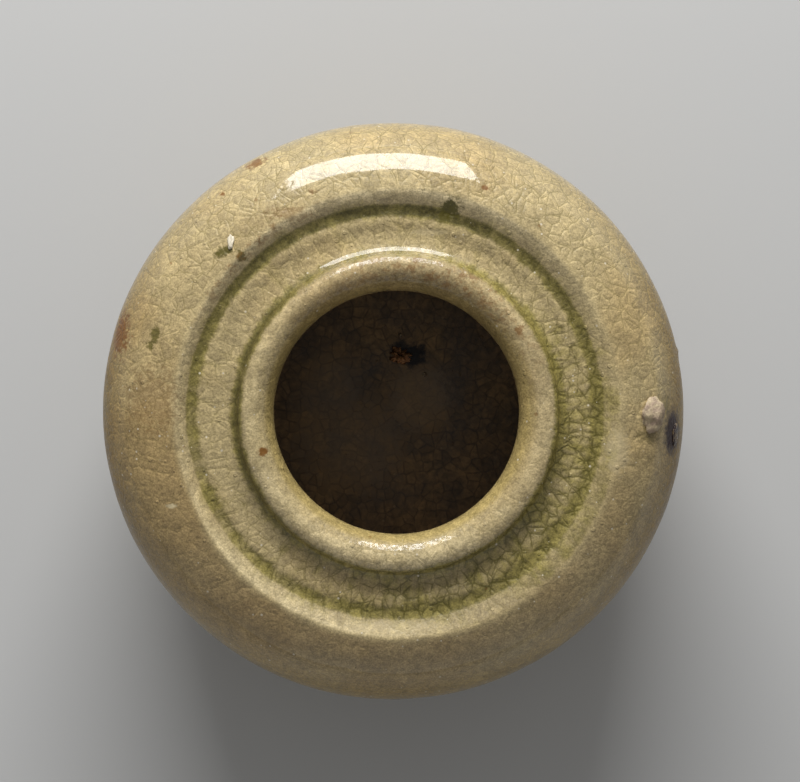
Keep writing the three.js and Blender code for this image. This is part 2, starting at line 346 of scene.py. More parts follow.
# How the thrown form strays from a true one, as the photograph shows it: at a radius, its shift in
# millimetres and its stretch as a share, across and along
STRAYS = (
    ("throat_radius", (0.45, -0.12), (0, 0)),
    ("neck", (0.7, -0.27), (-0.012, -0.012)),
    ("outer_groove", (0.2, -0.04), (0.008, 0.006)),
    ("ridge", (0.65, -0.3), (-0.004, 0.011)),
    ("body_radius", (0, 0), (0, 0)),
)
SHOULDER_SWELL = 0.25 * MM
SHOULDER_REACH = 4.5 * MM
SIDE_PRESS = Vector((0.0015, 0.0075))
TOP_PRESS = 0.0038
SLOW_WOBBLE = 0.12 * MM
SLOW_WAVE = 17 * MM
QUICK_WOBBLE = 0.035 * MM
QUICK_WAVE = 4.5 * MM
WOBBLE_PLACES = (Vector((3.1, 7.7, 1.9)), Vector((11.3, 2.6, 5.8)), Vector((6.4, 14.9, 9.2)))
FIRM_FOOT = 3 * MM

# The faint rings that trimming left on the lower belly
TRIM_TOP = 14 * MM
TRIM_RING = 0.035 * MM
TRIM_WAVE = 1.7 * MM


def polar(radius, angle, height=0.0):
    """A point from its distance from the axis and its angle round it in degrees."""
    around = math.radians(angle)
    return Vector((radius * math.cos(around), radius * math.sin(around), height))


def strayed(radius, jar):
    """The shift and the stretch of the thrown form at a distance from the axis."""
    for (inner, *near), (outer, *far) in zip(STRAYS, STRAYS[1:]):
        start, end = getattr(jar, inner), getattr(jar, outer)
        if radius < end:
            share = smooth(start, end, radius)
            return [Vector(a).lerp(Vector(b), share) for a, b in zip(near, far)]
    return Vector((0, 0)), Vector((0, 0))


def wobble(place):
    """A way that drifts from place to place, the same on each run, whatever seed the noise has."""
    return Vector([noise.noise(place + start) for start in WOBBLE_PLACES])


def thrown(point, jar):
    """Where a point of the true form lies on the uneven thrown one."""
    radius = math.hypot(point.x, point.y)
    moved = point.copy()
    high = smooth(jar.ceiling - 1 * MM, jar.throat_height, point.z)
    if high > 0:
        shift, extra = strayed(radius, jar)
        moved.x += high * (shift.x * MM + extra.x * point.x)
        moved.y += high * (shift.y * MM + extra.y * point.y)
        middle = (jar.ridge + jar.body_radius + 1 * MM) / 2
        away = min(1, abs(radius - middle) / SHOULDER_REACH)
        moved.z += high * SHOULDER_SWELL * (1 + math.cos(math.pi * away)) / 2
    if jar.foot_height < point.z < TRIM_TOP and radius > jar.foot_radius:
        fade = smooth(jar.foot_height, jar.foot_height + TRIM_WAVE, point.z)
        fade *= 1 - smooth(0, TRIM_TOP, point.z)
        moved.xy *= 1 + TRIM_RING / radius * math.sin(2 * math.pi * point.z / TRIM_WAVE) * fade
    free = smooth(0, FIRM_FOOT, point.z)
    moved += wobble(point / SLOW_WAVE) * SLOW_WOBBLE * free
    moved += wobble(point / QUICK_WAVE) * QUICK_WOBBLE * free
    moved.x *= 1 - SIDE_PRESS.x - TOP_PRESS
    moved.y *= 1 - SIDE_PRESS.y - TOP_PRESS
    moved.z *= 1 - TOP_PRESS
    return moved


def seat(surface, radius, top=True):
    """The highest or lowest height where a surface lies at a distance from the axis, and its way out."""
    found = [(0, (0, 1))]
    for a, b in zip(surface, surface[1:]):
        if a.x != b.x and (a.x - radius) * (b.x - radius) <= 0:
            along = (b - a).normalized()
            found.append((a.lerp(b, (radius - a.x) / (b.x - a.x)).y, (along.y, -along.x)))
    return max(found) if top else min(found[1:] or found)


# The photograph's frame, and where its jar lies in it, in pixels
PHOTO_WIDTH, PHOTO_HEIGHT = 800, 782
PHOTO_JAR_WIDTH = 583
PHOTO_MIDDLE = (393, 411)
CAMERA_DISTANCE = 0.65
SIGHT_PASSES = 8


def seen_at(jar, x, y, surface, top=True):
    """The point of a surface that the photograph shows at a pixel."""
    pixel = 2 * jar.body_radius / PHOTO_JAR_WIDTH
    eye = Vector((PHOTO_WIDTH / 2 - PHOTO_MIDDLE[0], PHOTO_MIDDLE[1] - PHOTO_HEIGHT / 2)) * pixel
    ray = Vector((x - PHOTO_WIDTH / 2, PHOTO_HEIGHT / 2 - y)) * pixel
    height = jar.equator
    for _ in range(SIGHT_PASSES):
        spot = eye + ray * (CAMERA_DISTANCE - height + jar.equator) / CAMERA_DISTANCE
        radius = min(spot.length, jar.body_radius - HARDLY)
        height, _ = seat(surface, radius, top)
    if spot.length > radius:
        spot *= radius / spot.length
    return Vector((spot.x, spot.y, height))


def spun(outline, closed, steps):
    """A bmesh of an outline turned about the axis, with its poles closed."""
    form = bmesh.new()
    run = form.verts.layers.float.new("run")
    corners = [form.verts.new((p.x, 0, p.y)) for p in outline]
    for corner, after in zip(corners, corners[1:]):
        after[run] = corner[run] + (after.co - corner.co).length
    edges = [form.edges.new(pair) for pair in zip(corners, corners[1:])]
    if closed:
        edges.append(form.edges.new((corners[-1], corners[0])))
    bmesh.ops.spin(
        form, geom=corners + edges, cent=(0, 0, 0), axis=(0, 0, 1), dvec=(0, 0, 0),
        angle=2 * math.pi, steps=steps, use_merge=True,
    )
    bmesh.ops.remove_doubles(form, verts=form.verts, dist=SAME_PLACE)
    bmesh.ops.recalc_face_normals(form, faces=form.faces)
    return form


def finished(form, name, material, slot, *stands_for):
    """The object made from a bmesh, riding on the part, with its finish."""
    mesh = bpy.data.meshes.new(name)
    form.to_mesh(mesh)
    form.free()
    mesh.shade_smooth()
    mesh.materials.append(material)
    piece = bpy.data.objects.new(name, mesh)
    bpy.context.scene.collection.objects.link(piece)
    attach(piece, BODY)
    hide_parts(*stands_for)
    return piece


def facing(angle, centre, reach):
    """1 at an angle round the axis, falling evenly to 0 at reach degrees to either side of it."""
    away = abs((angle - centre + 180) % 360 - 180)
    return (1 + math.cos(math.pi * min(1, away / reach))) / 2


def band(value, start, end, ease):
    """1 between start and end and 0 outside them, with soft ends."""
    return smooth(start - ease, start + ease, value) * (1 - smooth(end - ease, end + ease, value))


def run_length(outline):
    """How long an outline is, followed from point to point."""
    return sum((b - a).length for a, b in zip(outline, outline[1:]))


# Sides of the jar, as the photograph shows it: an angle in degrees, 0 at the right and 90 at the top,
# and how far the mark reaches to either side of it
SIDES = {
    # Sides where the rim at the widest part is darkened toward ochre, partly the glaze's own tone and partly
    # painted shade
    "darker right rim": (0, 75),
    "darker left rim": (180, 65),
    "undarkened back": (95, 85),
    "green ledge": (-42, 140),
    "green outer groove": (110, 110),
    "green neck on the left": (175, 90),
    "green neck on the right": (20, 75),
    "green bevel": (-32, 70),
    "warm shoulder": (222, 115),
    "warm lip": (80, 110),
    "crazed shoulder": (90, 130),
    "crazed lip": (280, 70),
    "wide throat": (20, 80),
    "pale lower bevel": (235, 95),
    "painted light on the upper bevel": (95, 85),
    "painted light on the crest": (265, 90),
    "rusty ridge": (133, 32),
    "rusty lip": (70, 75),
    # Painted shade on the sides turned from the lamp, for the five sides below
    "shaded shoulder": (266, 130),
    "shaded lip": (75, 125),
    "shaded outer groove": (95, 140),
    "shaded neck": (165, 95),
    "shaded bevel": (-42, 60),
}


def glaze_marks(jar, radius, angle, height):
    """How much of each of the MARKS the glaze has at a place, 0 to 1 each."""

    def side(name):
        return facing(angle, *SIDES[name])

    # How far the rim at the widest part is darkened toward ochre: partly the glaze's own ochre and partly
    # painted shade, most at the right and left, least at the back.
    darkened = 0.25 + 0.75 * max(side("darker right rim"), side("darker left rim"))
    darkened *= 1 - side("undarkened back")
    if height < jar.equator:
        low = 1 - smooth(jar.foot_height, jar.foot_height + 4 * MM, height)
        rim = smooth(jar.equator - 5 * MM, jar.equator, height)
        return 0.5 * low, 0.5 + 0.3 * low, 0.5 - 0.3 * low, 0.5 * rim, 0, 0, 0, rim * darkened, 0
    pooled = side("green ledge")
    outer = min(1, 1.5 * pool_at(jar, radius, jar.outer_groove + 0.1 * MM))
    inner = pool_at(jar, radius, jar.neck + 0.2 * MM)
    channel = band(radius, jar.neck - 0.3 * MM, jar.outer_groove + 0.9 * MM, 0.5 * MM)
    bevel = band(radius, jar.outer_groove + 1.1 * MM, jar.ridge - 0.2 * MM, 0.4 * MM)
    shoulder = smooth(jar.ridge - 0.5 * MM, jar.ridge + 1 * MM, radius)
    lip = 1 - smooth(jar.neck - 0.6 * MM, jar.neck, radius)
    crest = band(radius, jar.crest - 1 * MM, jar.neck, 0.5 * MM)
    slope = 1 - smooth(jar.crest - 0.8 * MM, jar.crest + 0.6 * MM, radius)
    far = smooth(jar.ridge + 2 * MM, jar.body_radius - 2 * MM, radius)

    green = channel * (0.15 + 0.5 * pooled)
    green += outer * (0.5 + 0.5 * side("green outer groove"))
    green += inner * (0.4 + 0.6 * side("green neck on the left") + 0.4 * side("green neck on the right"))
    green += bevel * 0.6 * side("green bevel")
    warm = shoulder * (0.25 + 0.75 * side("warm shoulder")) + lip * 0.5 * side("warm lip")
    crazed = channel * (0.5 + 0.5 * pooled) + bevel * 0.3
    crazed += shoulder * (0.35 + 0.55 * side("crazed shoulder"))
    crazed += lip * (0.25 + 0.2 * side("crazed lip"))
    reach = (1.6 + 1.3 * side("wide throat")) * MM
    olive = 1 - smooth(jar.throat_radius + 0.4 * reach, jar.throat_radius + reach, radius)
    olive = max(olive, 0.5 * smooth(jar.body_radius - 3 * MM, jar.body_radius - 0.2 * MM, radius))
    # Painted light: the upper bevel at the back faces away from the lamp and the lip's crest on the side away
    # from the lamp lies in shade, so both are lightened; the lower bevel and the rest of the crest are pale
    # where the glaze is thin.
    lit = 0.1 + 0.5 * side("pale lower bevel") + side("painted light on the upper bevel")
    pale = max(bevel * lit, crest * (0.3 + 0.3 * side("painted light on the crest")))
    rusty = max(
        band(radius, jar.ridge - 0.9 * MM, jar.ridge + 0.1 * MM, 0.3 * MM) * side("rusty ridge"),
        band(radius, jar.crest - 1.8 * MM, jar.neck - 0.3 * MM, 0.4 * MM) * side("rusty lip") * 0.8,
    )
    # Painted shade: the glaze darkens toward umber on the lower shoulder on the side away from the lamp, on
    # the lip and the outer groove at the back and on the neck at the left; on the right bevel it also darkens
    # glaze that is greener there.
    dusk = max(
        shoulder * side("shaded shoulder") * (1 - far),
        (0.4 * lip + 0.4 * slope) * side("shaded lip"),
        outer * side("shaded outer groove"),
        inner * side("shaded neck"),
        0.8 * bevel * side("shaded bevel"),
    )
    ochre = smooth(jar.body_radius - 4 * MM, jar.body_radius - 0.3 * MM, radius) * darkened
    worn = 0.9 * lip + 0.3 * channel
    return green, warm, crazed, olive, pale, rusty, dusk, ochre, worn


# How far down the side a run of glaze keeps its width
RUN_UNIT = 10 * MM

# What the fire and the pooling did to the glaze, with the painted shade and painted light among them, each
# kept on its points as an attribute
MARKS = ("green", "warm", "crazed", "olive", "pale", "rusty", "dusk", "ochre", "worn")


def flattened(form, middle):
    """Writes on each point its place on the glaze spread out flat; middle is the run at the axis."""
    run = form.verts.layers.float["run"]
    flat = form.verts.layers.float_vector.new("flat")
    for corner in form.verts:
        out = abs(middle - corner[run]) / MM
        angle = math.atan2(corner.co.y, corner.co.x)
        corner[flat] = (out * math.cos(angle), out * math.sin(angle), 0)


def marked(form, jar):
    """Writes on each point of the glaze how the fire and the pooling changed it, and where shade and light
    are painted on it.
    """
    layers = [form.verts.layers.float.new(name) for name in MARKS]
    around = form.verts.layers.float_vector.new("around")
    for corner in form.verts:
        radius = math.hypot(corner.co.x, corner.co.y)
        angle = math.degrees(math.atan2(corner.co.y, corner.co.x))
        for layer, value in zip(layers, glaze_marks(jar, radius, angle, corner.co.z)):
            corner[layer] = min(1, value)
        out = max(radius, HARDLY)
        corner[around] = (corner.co.x / out, corner.co.y / out, (radius - corner.co.z) / RUN_UNIT)


# Dents and bumps of the outside, each by the pixel that shows it, with its reach and depth in millimetres
DENTS = (
    ("pool on the bevel", 450, 208, 1.3, 0.45),
    ("pit on the left", 170, 262, 0.45, 0.25),
    ("hollow beside the grit", 636, 436, 2.2, 0.15),
    ("bump on the right rim", 678, 350, 0.9, -0.2),
    ("flat of the right shoulder", 640, 320, 3.0, 0.1),
    ("flat of the left shoulder", 140, 330, 3.0, 0.12),
    ("swelling of the lower ridge", 340, 655, 3.0, -0.1),
)

# How far below the widest part a dent can still be felt
DENTS_BELOW = 3 * MM


def unevened(form, jar):
    """Moves a form's points onto the uneven thrown form."""
    surface = outer_surface(jar, jar.hidden_step)
    dents = []
    for _, x, y, reach, depth in DENTS:
        place = seen_at(jar, x, y, surface)
        outward = Vector((place.x, place.y, max(0, place.z - jar.equator) * 2)).normalized()
        dents.append((place, reach * MM, outward * depth * MM))
    for corner in form.verts:
        start = corner.co.copy()
        corner.co = thrown(start, jar)
        if start.z < jar.equator - DENTS_BELOW:
            continue
        for place, reach, push in dents:
            away = (start - place).length
            if away < reach:
                corner.co -= push * (1 + math.cos(math.pi * away / reach)) / 2


class Sketch:
    """Adds nodes to a tree and links them, so that a finish reads from top to bottom."""

    def __init__(self, tree):
        self.tree = tree

    def add(self, kind, values=(), **settings):
        made = self.tree.nodes.new(kind)
        for name, setting in settings.items():
            setattr(made, name, setting)
        for name, value in dict(values).items():
            self.feed(value, made.inputs[name])
        return made

    def feed(self, value, socket):
        if isinstance(value, bpy.types.NodeSocket):
            self.tree.links.new(value, socket)
        else:
            socket.default_value = value

    def math(self, operation, a, b=0.0, clamp=False):
        made = self.add("ShaderNodeMath", {0: a, 1: b}, operation=operation, use_clamp=clamp)
        return made.outputs[0]

    def times(self, *values):
        product = values[0]
        for value in values[1:]:
            product = self.math("MULTIPLY", product, value)
        return product

    def plus(self, *values):
        total = values[0]
        for value in values[1:]:
            total = self.math("ADD", total, value)
        return total

    def most(self, *values):
        greatest = values[0]
        for value in values[1:]:
            greatest = self.math("MAXIMUM", greatest, value)
        return greatest

    def vector(self, operation, a, b=(0, 0, 0)):
        made = self.add("ShaderNodeVectorMath", {0: a, 1: b}, operation=operation)
        return made.outputs["Value" if operation in ("LENGTH", "DISTANCE", "DOT_PRODUCT") else "Vector"]

    def scaled(self, vector, scale):
        return self.add("ShaderNodeVectorMath", {0: vector, "Scale": scale}, operation="SCALE").outputs[0]

    def range(self, value, low, high, start=0.0, end=1.0):
        made = self.add(
            "ShaderNodeMapRange",
            {"Value": value, "From Min": low, "From Max": high, "To Min": start, "To Max": end},
            interpolation_type="SMOOTHSTEP",
        )
        return made.outputs[0]

    def mix(self, share, a, b, blend="MIX"):
        made = self.add("ShaderNodeMix", data_type="RGBA", blend_type=blend)
        self.feed(share, made.inputs[0])
        self.feed(a, made.inputs[6])
        self.feed(b, made.inputs[7])
        return made.outputs[2]

    def noise(self, vector, scale, detail=2.0, roughness=0.5, output=0):
        made = self.add(
            "ShaderNodeTexNoise",
            {"Vector": vector, "Scale": scale, "Detail": detail, "Roughness": roughness},
        )
        return made.outputs[output]

    def specks(self, place, spacing, size, share):
        """The mask of the specks group."""
        return self.group("specks", Place=place, Spacing=spacing, Size=size, Share=share)["Mask"]

    def shade(self, body, value):
        """A colour made darker or lighter by a value."""
        grey = self.add("ShaderNodeCombineColor", {0: value, 1: value, 2: value}).outputs[0]
        return self.mix(1.0, body, grey, "MULTIPLY")

    def group(self, name, **values):
        made = self.tree.nodes.new("ShaderNodeGroup")
        made.node_tree = bpy.data.node_groups.get(name) or GROUPS[name]()
        for socket, value in values.items():
            self.feed(value, made.inputs[socket])
        return made.outputs


FLOAT = "NodeSocketFloat"
VECTOR = "NodeSocketVector"


def new_group(name, inputs, outputs):
    """An empty shader node group with its sockets, and a sketch of its inside."""
    tree = bpy.data.node_groups.new(name, "ShaderNodeTree")
    for socket, kind, default in inputs:
        made = tree.interface.new_socket(socket, in_out="INPUT", socket_type=kind)
        made.default_value = default
    for socket, kind in outputs:
        tree.interface.new_socket(socket, in_out="OUTPUT", socket_type=kind)
    sketch = Sketch(tree)
    return tree, sketch, sketch.add("NodeGroupInput").outputs, sketch.add("NodeGroupOutput").inputs


def crackle_group():
    """Cracks in a glaze: the lines, the raised edges beside them and a random tone for each island."""
    tree, sketch, start, end = new_group(
        "crackle",
        [("Place", VECTOR, (0, 0, 0)), ("Cell", FLOAT, 1.3), ("Width", FLOAT, 0.1), ("Wander", FLOAT, 0.4)],
        [("Line", FLOAT), ("Edge", FLOAT), ("Tone", FLOAT)],
    )
    drift = sketch.noise(start["Place"], 0.32, 1.5, output="Color")
    bend = sketch.vector("SUBTRACT", drift, (0.5, 0.5, 0.5))
    place = sketch.vector("ADD", start["Place"], sketch.scaled(bend, start["Wander"]))
    place = sketch.scaled(place, sketch.math("DIVIDE", 1.0, start["Cell"]))
    near = sketch.add("ShaderNodeTexVoronoi", voronoi_dimensions="2D", feature="DISTANCE_TO_EDGE")
    cell = sketch.add("ShaderNodeTexVoronoi", voronoi_dimensions="2D", feature="F1")
    for pattern in (near, cell):
        sketch.feed(place, pattern.inputs["Vector"])
        sketch.feed(1.0, pattern.inputs["Scale"])
    away = sketch.times(near.outputs["Distance"], start["Cell"])
    whole = sketch.range(sketch.noise(start["Place"], 0.5, 3.0), 0.36, 0.54, 0.2, 1.0)
    line = sketch.times(sketch.range(away, 0.0, start["Width"], 1.0, 0.0), whole)
    edge = sketch.range(away, 0.0, sketch.times(start["Width"], 3.0), 1.0, 0.0)
    tone = sketch.add("ShaderNodeSeparateColor", {0: cell.outputs["Color"]}).outputs[0]
    sketch.feed(line, end["Line"])
    sketch.feed(sketch.times(edge, whole), end["Edge"])
    sketch.feed(tone, end["Tone"])
    return tree


def speck_group():
    """Scattered specks: a mask of round spots of uneven size, some places left empty."""
    tree, sketch, start, end = new_group(
        "specks",
        [("Place", VECTOR, (0, 0, 0)), ("Spacing", FLOAT, 2.0), ("Size", FLOAT, 0.2), ("Share", FLOAT, 0.3)],
        [("Mask", FLOAT)],
    )
    place = sketch.scaled(start["Place"], sketch.math("DIVIDE", 1.0, start["Spacing"]))
    cell = sketch.add("ShaderNodeTexVoronoi", {"Vector": place, "Scale": 1.0}, feature="F1")
    dice = sketch.add("ShaderNodeSeparateColor", {0: cell.outputs["Color"]}).outputs
    away = sketch.times(cell.outputs["Distance"], start["Spacing"])
    size = sketch.times(start["Size"], sketch.range(dice[1], 0.0, 1.0, 0.4, 1.2))
    spot = sketch.range(away, sketch.times(size, 0.5), size, 1.0, 0.0)
    chosen = sketch.math("LESS_THAN", dice[0], start["Share"])
    sketch.feed(sketch.times(spot, chosen), end["Mask"])
    return tree


def stain_group():
    """One stain with a ragged edge: a mask round a centre, with its own half sizes."""
    tree, sketch, start, end = new_group(
        "stain",
        [
            ("Place", VECTOR, (0, 0, 0)), ("Centre", VECTOR, (0, 0, 0)), ("Half", VECTOR, (1, 1, 1)),
            ("Tooth", FLOAT, 0.0), ("Strength", FLOAT, 1.0),
        ],
        [("Mask", FLOAT)],
    )
    apart = sketch.vector("DIVIDE", sketch.vector("SUBTRACT", start["Place"], start["Centre"]), start["Half"])
    away = sketch.plus(sketch.vector("LENGTH", apart), start["Tooth"])
    mask = sketch.range(away, 0.45, 1.0, 1.0, 0.0)
    sketch.feed(sketch.times(mask, start["Strength"]), end["Mask"])
    return tree


def relief_group():
    """The unevenness of a fired surface as a height: orange peel, pinholes and sand under the glaze."""
    tree, sketch, start, end = new_group(
        "relief",
        [
            ("Place", VECTOR, (0, 0, 0)), ("Peel", FLOAT, 0.5), ("Grain", FLOAT, 0.2),
            ("Pits", FLOAT, 0.5), ("Sand", FLOAT, 0.5),
        ],
        [("Height", FLOAT)],
    )
    peel = sketch.plus(sketch.noise(start["Place"], 0.5, 2.0), -0.5)
    grain = sketch.plus(sketch.noise(start["Place"], 3.0, 3.0), -0.5)
    pit = sketch.specks(start["Place"], 1.1, 0.13, 0.35)
    shifted = sketch.vector("ADD", start["Place"], (7.3, 2.1, 4.7))
    sand = sketch.specks(shifted, 1.0, 0.3, 0.16)
    height = sketch.plus(sketch.times(peel, start["Peel"]), sketch.times(grain, start["Grain"]))
    height = sketch.math("SUBTRACT", height, sketch.times(pit, start["Pits"]))
    sketch.feed(sketch.plus(height, sketch.times(sand, start["Sand"])), end["Height"])
    return tree


GROUPS = {"crackle": crackle_group, "specks": speck_group, "stain": stain_group, "relief": relief_group}


def new_finish(name):
    """An empty material with its shader, its sketch and the place in millimetres."""
    material = bpy.data.materials.new(name)
    material.use_nodes = True
    material.node_tree.nodes.clear()
    sketch = Sketch(material.node_tree)
    shader = sketch.add("ShaderNodeBsdfPrincipled")
    output = sketch.add("ShaderNodeOutputMaterial")
    sketch.feed(shader.outputs[0], output.inputs[0])
    place = sketch.scaled(sketch.add("ShaderNodeTexCoord").outputs["Object"], 1 / MM)
    return material, sketch, shader.inputs, place


def attribute(sketch, name, output="Fac"):
    return sketch.add("ShaderNodeAttribute", attribute_name=name, attribute_type="GEOMETRY").outputs[output]


def rgb(colour_value):
    return (*colour_value, 1.0)


def bumped(sketch, height, reach):
    made = sketch.add("ShaderNodeBump", {"Strength": 1.0, "Distance": reach, "Height": height})
    return made.outputs["Normal"]


# Stains, and patches of painted shadow and painted light, each by the pixel that shows it, with its half
# width and half height in millimetres and its strength
RUST_STAINS = (
    ("left rim", 120, 331, 1.7, 4.0, 1.0),
    ("upper left rim", 253, 162, 2.2, 1.2, 0.9),
    ("left speck", 221, 192, 0.65, 0.6, 1.0),
    ("speck beside the highlight", 486, 188, 0.6, 0.5, 0.9),
    ("pit under the highlight", 312, 191, 0.7, 0.6, 0.6),
    ("right of the lip", 520, 330, 0.7, 0.9, 0.7),
    ("spot on the lip", 262, 451, 0.85, 0.7, 1.0),
    ("brown patch on the left", 150, 400, 4.5, 5.0, 0.25),
    ("lower left rim", 112, 490, 0.9, 3.0, 0.4),
    ("pit on the left", 170, 262, 0.45, 0.4, 0.7),
    ("ridge above the left", 290, 213, 3.8, 1.2, 0.35),
)
GREEN_STAINS = (
    ("pool on the bevel", 450, 208, 1.7, 1.7, 1.0),
    ("below the pool", 446, 217, 1.4, 0.9, 0.7),
    ("left of the grain", 223, 251, 1.5, 0.9, 0.9),
    ("right of the grain", 242, 256, 0.9, 0.9, 0.8),
    ("patch on the left", 155, 334, 0.8, 1.4, 0.8),
    ("below the patch on the left", 149, 345, 0.8, 0.9, 0.8),
    ("foot of the grit", 646, 436, 2.0, 1.2, 0.35),
    ("right of the grit", 666, 405, 0.8, 1.8, 0.45),
)
# Pale patches on the floor inside: the one beside the chip is the glaze's own; the lower left and left ones
# are painted light on the brighter side of the floor.
ASH_AND_PAINTED_LIGHT = (
    ("beside the chip", 420, 398, 5.0, 6.0, 0.4),
    ("lower left", 350, 445, 9.0, 8.0, 0.3),
    ("left", 330, 400, 5.0, 8.0, 0.25),
)
IRON_STAINS = (
    ("round the blister", 673, 433, 1.7, 4.0, 1.0),
)
DULL_STAINS = (
    ("left end of the highlight", 282, 188, 1.5, 1.5, 1.0),
    ("right end of the highlight", 474, 186, 2.6, 1.1, 1.0),
)
# Painted shadow of the chip on the floor inside.
PAINTED_CHIP_SHADOW = (
    ("behind the chip", 412, 355, 2.8, 2.1, 1.0),
    ("above the chip", 402, 348, 1.8, 1.1, 0.9),
)
PALE_STAINS = (
    ("scratch on the left", 170, 506, 1.2, 0.35, 1.0),
    ("ridge beside the grit", 618, 452, 2.0, 3.5, 0.4),
    ("below the highlight", 430, 232, 3.0, 0.6, 0.35),
    ("lower bevel", 395, 626, 7.0, 1.0, 0.35),
)


# How deep a stain reaches: on the floor in millimetres, outside as a share of its larger half
FLOOR_STAIN_DEPTH = 9.0
SIDE_STAIN_DEPTH = 1.2


def stains(sketch, place, jar, marks, tooth, inside=False):
    """One mask of several stains, of the outside or of the floor inside."""
    surface = (inner_surface if inside else outer_surface)(jar, jar.hidden_step)
    masks = []
    for _, x, y, half_width, half_height, strength in marks:
        centre = seen_at(jar, x, y, surface, top=not inside) / MM
        depth = FLOOR_STAIN_DEPTH if inside else max(half_width, half_height) * SIDE_STAIN_DEPTH
        half = (half_width, half_height, depth)
        one = sketch.group("stain", Place=place, Centre=centre, Half=half, Tooth=tooth, Strength=strength)
        masks.append(one["Mask"])
    return sketch.most(*masks)


# The glassy top of the celadon and the body under it, and how deep each surface's relief is
COAT_ROUGHNESS = 0.05
COAT_IOR = 1.42
BODY_SPECULAR = 0.15
GLAZE_RELIEF = 0.09 * MM
LINING_RELIEF = 0.1 * MM
CLAY_RELIEF = 0.12 * MM


